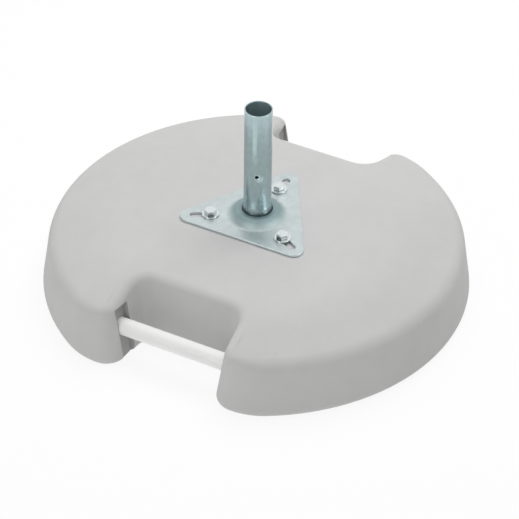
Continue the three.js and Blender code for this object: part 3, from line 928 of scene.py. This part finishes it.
def concrete_finish(context):
    """Fine grey concrete: broad clouds, a fine grain, and small pores left by air at the mould.

    It is darker inside the slots for the bars' ends: painted shade of these recesses.
    """
    s, sizes = context.scene.parasol_finishes, context.scene.parasol_casting
    place = sizes.base_diameter / 2 - context.scene.parasol_bars.inset
    g = Graph("cast concrete")
    clouds = g.spread(g.noise(5.0, 3.0, 0.55), 0.3, 0.7, 0.972, 1.022)
    patches = g.spread(g.noise(34.0, 4.0, 0.6), 0.3, 0.7, 0.985, 1.012)
    grain = g.noise(1400.0, 2.0, 0.6)
    fine = g.spread(grain, 0.25, 0.75, 0.975, 1.02)
    cells = g.node("ShaderNodeTexVoronoi", scale=95.0, feature="F1")
    g.join(g.place, cells.inputs["Vector"])
    chosen = g.spread(cells.outputs["Color"], 0.80, 0.86, 0.0, 1.0)
    pit = g.spread(cells.outputs["Distance"], 0.05, 0.11, 1.0, 0.0)
    pore = g.sum("MULTIPLY", chosen, pit)
    tone = g.sum("MULTIPLY", g.sum("MULTIPLY", clouds, patches), fine)
    tone = g.sum("MULTIPLY", tone, g.spread(pore, 0.0, 1.0, 1.0, 0.8))
    # Painted shade: the tone falls to 0.74 inside the slots for the bars' ends, as shade in these recesses.
    near = [
        g.spread(g.distance(middle, scale, True), reach + 0.0001, reach + 0.0003, 1.0, 0.0)
        for reach, middle, scale in (
            (0.120, (0, 0, 0), (1, 0, 0)), (sizes.slot_width / 2, (0, place, 0), (0, 1, 0)),
            (sizes.slot_height, (0, 0, 0), (0, 0, 1)))
    ]
    inside = g.sum("MULTIPLY", g.sum("MULTIPLY", near[0], near[1]), near[2])
    tone = g.sum("MULTIPLY", tone, g.spread(inside, 0.0, 1.0, 1.0, 0.74))
    g.tinted(s.concrete, tone)
    g.rough(g.spread(g.noise(60.0, 3.0), 0.3, 0.7, s.concrete_roughness - 0.06, s.concrete_roughness + 0.05))
    ripple = g.sum("MULTIPLY", g.noise(9.0, 2.0), 1.6)
    height = g.sum("ADD", g.sum("MULTIPLY", grain, 0.10), ripple)
    height = g.sum("ADD", height, g.sum("MULTIPLY", g.noise(220.0, 3.0, 0.6), 0.18))
    height = g.sum("SUBTRACT", height, g.sum("MULTIPLY", pore, 0.9))
    g.bump(height, 0.0006)
    g.shader.inputs["Specular IOR Level"].default_value = 0.25
    return g.material


def galvanised_graph(name, spangle, streak, low, high):
    """Zinc on steel: crystals of slightly different tone, streaks along Z and an uneven sheen.

    Returns the graph and the crystals' tone about 1.
    """
    g = Graph(name)
    g.shader.inputs["Metallic"].default_value = 1.0
    cells = g.node("ShaderNodeTexVoronoi", scale=spangle, feature="F1")
    warped = g.node("ShaderNodeVectorMath", operation="ADD")
    drift = g.node("ShaderNodeTexNoise", scale=spangle * 0.6, detail=2.0)
    g.join(g.place, drift.inputs["Vector"])
    scaled = g.node("ShaderNodeVectorMath", operation="SCALE")
    scaled.inputs["Scale"].default_value = 0.6 / spangle
    g.join(drift.outputs["Color"], scaled.inputs[0])
    g.join(g.place, warped.inputs[0])
    g.join(scaled.outputs["Vector"], warped.inputs[1])
    g.join(warped.outputs["Vector"], cells.inputs["Vector"])
    crystal = g.spread(cells.outputs["Color"], 0.0, 1.0, 0.93, 1.05)
    clouds = g.spread(g.noise(28.0, 3.0, 0.6), 0.3, 0.7, 0.95, 1.04)
    tone = g.sum("MULTIPLY", crystal, clouds)
    lines = g.noise(260.0, 3.0, 0.6, g.stretched(1.0, 1.0, streak))
    sheen = g.sum("ADD", g.sum("MULTIPLY", g.noise(45.0, 3.0, 0.6), 0.6), g.sum("MULTIPLY", lines, 0.4))
    g.rough(g.spread(sheen, 0.3, 0.7, low, high))
    height = g.sum("ADD", g.sum("MULTIPLY", lines, 0.5), g.noise(120.0, 3.0))
    g.bump(height, 0.00012, 0.6)
    return g, tone


def tube_finish(context, foot, hole):
    """The tube's zinc, with drawn lines along its length and a dull bore. Painted shade darkens the foot
    where it meets the dish, and the sides where they turn edge-on to the view. At the lower right of the
    hole the drill bared the metal, and this bare patch is painted brighter as a highlight."""
    s = context.scene.parasol_tube
    g, tone = galvanised_graph("galvanised tube", 160.0, 0.04, 0.14, 0.25)
    radius = s.diameter / 2
    bore = g.spread(g.distance((0, 0, 0), (1, 1, 0)), radius - 0.0016, radius - 0.0006, 0.5, 1.0)
    # Bare metal round the hole: the drill's scrape, painted brighter and less metallic as a highlight.
    near = g.spread(g.distance(hole), 0.0050, 0.0092, 1.0, 0.0)
    flecks = g.spread(g.noise(620.0, 2.0, 0.6), 0.47, 0.53, 0.0, 1.0)
    scrape_and_glint = g.sum("MULTIPLY", near, flecks)
    # Painted shade: the tone falls to 0.70 where the tube turns edge-on to the view.
    facing_for_painted_shade = g.node("ShaderNodeLayerWeight").outputs["Facing"]
    tone = g.sum("MULTIPLY", tone, g.spread(facing_for_painted_shade, 0.38, 0.8, 1.0, 0.70))
    # Painted shade: the tone falls to 0.35 at the foot, where the tube meets the dish.
    low = g.distance((0, 0, foot), (0, 0, 1))
    tone = g.sum("MULTIPLY", tone, g.spread(low, 0.003, 0.013, 0.35, 1.0))
    g.tinted(context.scene.parasol_finishes.galvanised, g.sum(
        "MULTIPLY", tone, g.spread(scrape_and_glint, 0.0, 1.0, 1.0, 1.7)))
    g.join(g.sum("MULTIPLY", bore, g.spread(scrape_and_glint, 0.0, 1.0, 1.0, 0.1)), g.shader.inputs["Metallic"])
    return g.material


def plate_finish(context):
    """The plate's zinc, with larger crystals, rougher on the pressed dish, whose darker colour is painted
    shade.
    """
    s = context.scene.parasol_plate
    g, tone = galvanised_graph("galvanised plate", 110.0, 1.0, 0.38, 0.50)
    colours = context.scene.parasol_finishes
    # Painted shade: the pressed dish takes the darker dish colour, for the darker look of its raised slope.
    mix = g.node("ShaderNodeMix", data_type="RGBA")
    flat = g.spread(
        g.distance((0, 0, 0), (1, 1, 0)), s.dish_diameter / 2 - 0.014, s.dish_diameter / 2 + 0.001, 0.0, 1.0)
    g.join(flat, mix.inputs[0])
    mix.inputs[6].default_value = (*colours.dish, 1)
    mix.inputs[7].default_value = (*colours.plate, 1)
    g.join(mix.outputs[2], g.tinted(colours.plate, tone).inputs[0])
    sheen = g.shader.inputs["Roughness"].links[0].from_socket
    g.rough(g.sum("ADD", sheen, g.spread(flat, 0.0, 1.0, 0.14, 0.0)))
    return g.material


def zinc_finish(context):
    """Bright zinc plate on bolts and washers, with fine scuffs."""
    g = Graph("bright zinc")
    g.shader.inputs["Metallic"].default_value = 1.0
    clouds = g.spread(g.noise(160.0, 3.0, 0.6), 0.3, 0.7, 0.93, 1.05)
    g.tinted(context.scene.parasol_finishes.zinc, clouds)
    g.rough(g.spread(g.noise(420.0, 3.0, 0.65), 0.3, 0.7, 0.12, 0.26))
    g.bump(g.noise(700.0, 3.0, 0.6), 0.00006, 0.5)
    return g.material


def steel_finish(context):
    """Plain steel with a thin dull skin, for what is mostly hidden."""
    g = Graph("plain steel")
    g.shader.inputs["Metallic"].default_value = 0.9
    g.tinted(context.scene.parasol_finishes.steel, g.spread(g.noise(90.0, 4.0, 0.6), 0.3, 0.7, 0.85, 1.08))
    g.rough(g.spread(g.noise(240.0, 3.0), 0.3, 0.7, 0.42, 0.6))
    g.bump(g.noise(500.0, 3.0), 0.00008, 0.6)
    return g.material


def plastic_finish(context):
    """White moulded plastic: a soft gloss, faint flow lines along the bar and fine scuffs."""
    s = context.scene.parasol_finishes
    g = Graph("white plastic")
    clouds = g.spread(g.noise(22.0, 3.0, 0.6), 0.3, 0.7, 0.985, 1.01)
    scuffs = g.noise(300.0, 4.0, 0.7, g.stretched(0.12, 1.0, 1.0))
    marks = g.spread(scuffs, 0.66, 0.74, 1.0, 0.965)
    g.tinted(s.plastic, g.sum("MULTIPLY", clouds, marks))
    g.rough(g.spread(scuffs, 0.35, 0.75, s.plastic_roughness - 0.05, s.plastic_roughness + 0.12))
    g.bump(g.sum("ADD", scuffs, g.noise(30.0, 2.0)), 0.00008, 0.5)
    g.shader.inputs["IOR"].default_value = 1.49
    return g.material


# Studio


def seen_directly(tree):
    """1 for rays from the camera, a mirror-like surface or glass, and 0 for the light that falls."""
    path = tree.nodes.new("ShaderNodeLightPath")
    first = tree.nodes.new("ShaderNodeMath")
    first.operation = "MAXIMUM"
    tree.links.new(path.outputs["Is Camera Ray"], first.inputs[0])
    tree.links.new(path.outputs["Is Glossy Ray"], first.inputs[1])
    second = tree.nodes.new("ShaderNodeMath")
    second.operation = "MAXIMUM"
    tree.links.new(first.outputs[0], second.inputs[0])
    tree.links.new(path.outputs["Is Transmission Ray"], second.inputs[1])
    return second.outputs[0]


def white_room(s):
    """A world that shows white and lights the object evenly from all round."""
    world = bpy.data.worlds.new("white room")
    bpy.context.scene.world = world
    world.use_nodes = True
    tree = world.node_tree
    back = tree.nodes["Background"]
    back.inputs["Color"].default_value = (1, 1, 1, 1)
    mix = tree.nodes.new("ShaderNodeMapRange")
    tree.links.new(seen_directly(tree), mix.inputs["Value"])
    mix.inputs["To Min"].default_value = s.ambient
    mix.inputs["To Max"].default_value = 1.0
    tree.links.new(mix.outputs["Result"], back.inputs["Strength"])


def pale_floor(s):
    """A wide pale floor that keeps a soft part of the object's shadow and lights it from below."""
    half = 12.0
    mesh = bpy.data.meshes.new("floor")
    corners = np.array([(-half, -half), (half, -half), (half, half), (-half, half)])
    mesh.from_pydata([(x, y, -0.0005) for x, y in corners], [], [(0, 1, 2, 3)])
    floor = bpy.data.objects.new("floor", mesh)
    bpy.context.scene.collection.objects.link(floor)
    material = bpy.data.materials.new("pale floor")
    material.use_nodes = True
    tree = material.node_tree
    tree.nodes.remove(tree.nodes["Principled BSDF"])
    matt = tree.nodes.new("ShaderNodeBsdfDiffuse")
    matt.inputs["Color"].default_value = (*s.floor, 1)
    glow = tree.nodes.new("ShaderNodeEmission")
    glow.inputs["Color"].default_value = (1, 1, 1, 1)
    share_shown = tree.nodes.new("ShaderNodeMapRange")
    tree.links.new(seen_directly(tree), share_shown.inputs["Value"])
    share_shown.inputs["To Min"].default_value = s.floor_fill
    share_shown.inputs["To Max"].default_value = 1 - s.shadow_share
    mix = tree.nodes.new("ShaderNodeMixShader")
    tree.links.new(share_shown.outputs["Result"], mix.inputs["Fac"])
    tree.links.new(matt.outputs[0], mix.inputs[1])
    tree.links.new(glow.outputs[0], mix.inputs[2])
    tree.links.new(mix.outputs[0], tree.nodes["Material Output"].inputs["Surface"])
    mesh.materials.append(material)


def around(azimuth, elevation, distance):
    """The place of a lamp or card that looks at the object's middle from a side and height.

    Azimuth 0 is the front, as the camera's is measured.
    """
    turn = Matrix.Rotation(azimuth, 4, "Z") @ Matrix.Rotation(pi / 2 - elevation, 4, "X")
    return Matrix.Translation((0, 0, 0.1)) @ turn @ Matrix.Translation((0, 0, distance))


def softbox(name, power, place, width, height, seen_by):
    """A soft rectangular lamp, for matt surfaces or for what metal reflects."""
    data = bpy.data.lights.new(name, "AREA")
    data.shape = "RECTANGLE"
    data.size, data.size_y = width, height
    data.energy = power
    lamp = bpy.data.objects.new(name, data)
    lamp.matrix_world = place
    lamp.visible_glossy = seen_by == "metal"
    lamp.visible_diffuse = seen_by == "matt"
    bpy.context.scene.collection.objects.link(lamp)


def dark_card(name, grey, place, width, height):
    """A dark card that only mirror-like surfaces show, as the dark parts of a studio."""
    mesh = bpy.data.meshes.new(name)
    corners = [(-width / 2, -height / 2), (width / 2, -height / 2), (width / 2, height / 2),
               (-width / 2, height / 2)]
    mesh.from_pydata([tuple(place @ Vector((x, y, 0))) for x, y in corners], [], [(0, 1, 2, 3)])
    card = bpy.data.objects.new(name, mesh)
    bpy.context.scene.collection.objects.link(card)
    material = bpy.data.materials.new(name)
    material.use_nodes = True
    material.node_tree.nodes["Principled BSDF"].inputs["Base Color"].default_value = (grey, grey, grey, 1)
    material.node_tree.nodes["Principled BSDF"].inputs["Roughness"].default_value = 1.0
    mesh.materials.append(material)
    card.visible_camera = card.visible_diffuse = card.visible_transmission = card.visible_shadow = False


def photo_camera(s):
    """The camera that took the photograph: a long lens at a fitted distance, dip, turn and roll."""
    side = 519
    focal = s.pixel_scale * s.camera_distance
    dip, roll = s.camera_dip, s.camera_roll
    ahead = np.array([0, cos(dip), -sin(dip)])
    right, up = np.array([1, 0, 0]), np.array([0, sin(dip), cos(dip)])
    image_right = right * cos(roll) + up * sin(roll)
    image_up = -right * sin(roll) + up * cos(roll)
    across = (s.origin_pixel[0] - side / 2) / focal * s.camera_distance
    upward = -(s.origin_pixel[1] - side / 2) / focal * s.camera_distance
    place = -(image_right * across + image_up * upward + ahead * s.camera_distance)
    matrix = Matrix.Identity(4)
    for row in range(3):
        matrix[row][:] = (image_right[row], image_up[row], -ahead[row], place[row])
    data = bpy.data.cameras.new("photo camera")
    data.sensor_width = 36.0
    data.lens = focal / side * data.sensor_width
    data.clip_start, data.clip_end = 0.05, 60.0
    camera = bpy.data.objects.new("photo camera", data)
    bpy.context.scene.collection.objects.link(camera)
    camera.matrix_world = Matrix.Rotation(s.camera_azimuth, 4, "Z") @ matrix
    bpy.context.scene.camera = camera


class PARASOL_OT_studio(bpy.types.Operator):
    """Makes the pale floor, the soft light and the camera at the photograph's angle."""

    bl_idname = "parasol_base.studio"
    bl_label = "Studio"

    def execute(self, context):
        s = context.scene.parasol_studio
        white_room(s)
        pale_floor(s)
        side = s.camera_azimuth
        softbox("overhead", s.overhead, around(side + radians(135), radians(66), 3.0), 1.6, 1.6, "matt")
        softbox("left", s.left, around(side - radians(30), radians(19), 3.4), 1.6, 3.2, "matt")
        softbox("side", s.side, around(side - radians(80), radians(14), 3.4), 1.6, 1.5, "matt")
        softbox("back", s.back, around(side + radians(170), radians(72), 3.4), 3.2, 3.2, "matt")
        softbox("left strip", s.strips, around(side - radians(37), radians(14), 3.4), 0.9, 1.5, "metal")
        softbox("right strip", s.strips, around(side + radians(64), radians(14), 3.4), 0.9, 1.5, "metal")
        dark_card("front card", s.cards, around(side + radians(12), radians(8), 3.3), 1.7, 1.6)
        dark_card("camera card", s.cards, around(side + radians(5), radians(42), 4.9), 1.7, 2.4)
        dark_card("left card", s.cards, around(side - radians(80), radians(40), 4.0), 2.6, 2.2)
        photo_camera(s)
        context.scene.view_settings.view_transform = "Standard"
        return {"FINISHED"}


# Panel and registration

BUILD_ORDER = ("casting", "hand_bars", "flange_plate", "stand_tube", "fasteners", "hidden_steel", "studio")
GROUPS = {
    "parasol_casting": CastingSizes,
    "parasol_bars": BarSizes,
    "parasol_plate": PlateSizes,
    "parasol_tube": TubeSizes,
    "parasol_fasteners": FastenerSizes,
    "parasol_finishes": Finishes,
    "parasol_studio": StudioSettings,
}


class PARASOL_PT_panel(bpy.types.Panel):
    """Lists the pieces and their sizes in the 3D view's sidebar."""

    bl_idname = "PARASOL_PT_panel"
    bl_label = "Parasol Base"
    bl_space_type = "VIEW_3D"
    bl_region_type = "UI"
    bl_category = "Parasol Base"

    def draw(self, context):
        for step in BUILD_ORDER:
            self.layout.operator(f"parasol_base.{step}")
        for group in GROUPS:
            box = self.layout.box()
            box.label(text=group.replace("parasol_", "").replace("_", " ").capitalize())
            settings = getattr(context.scene, group)
            for key in settings.__annotations__:
                box.prop(settings, key)


OPERATORS = (
    PARASOL_OT_casting, PARASOL_OT_hand_bars, PARASOL_OT_flange_plate, PARASOL_OT_stand_tube,
    PARASOL_OT_fasteners, PARASOL_OT_hidden_steel, PARASOL_OT_studio,
)


def register():
    for group in GROUPS.values():
        bpy.utils.register_class(group)
    for operator in (*OPERATORS, PARASOL_PT_panel):
        bpy.utils.register_class(operator)
    for name, group in GROUPS.items():
        setattr(bpy.types.Scene, name, bpy.props.PointerProperty(type=group))


def unregister():
    for name in GROUPS:
        delattr(bpy.types.Scene, name)
    for operator in (PARASOL_PT_panel, *reversed(OPERATORS)):
        bpy.utils.unregister_class(operator)
    for group in reversed(GROUPS.values()):
        bpy.utils.unregister_class(group)


def main():
    register()
    for step in BUILD_ORDER:
        getattr(bpy.ops.parasol_base, step)()


if __name__ == "__main__":
    main()
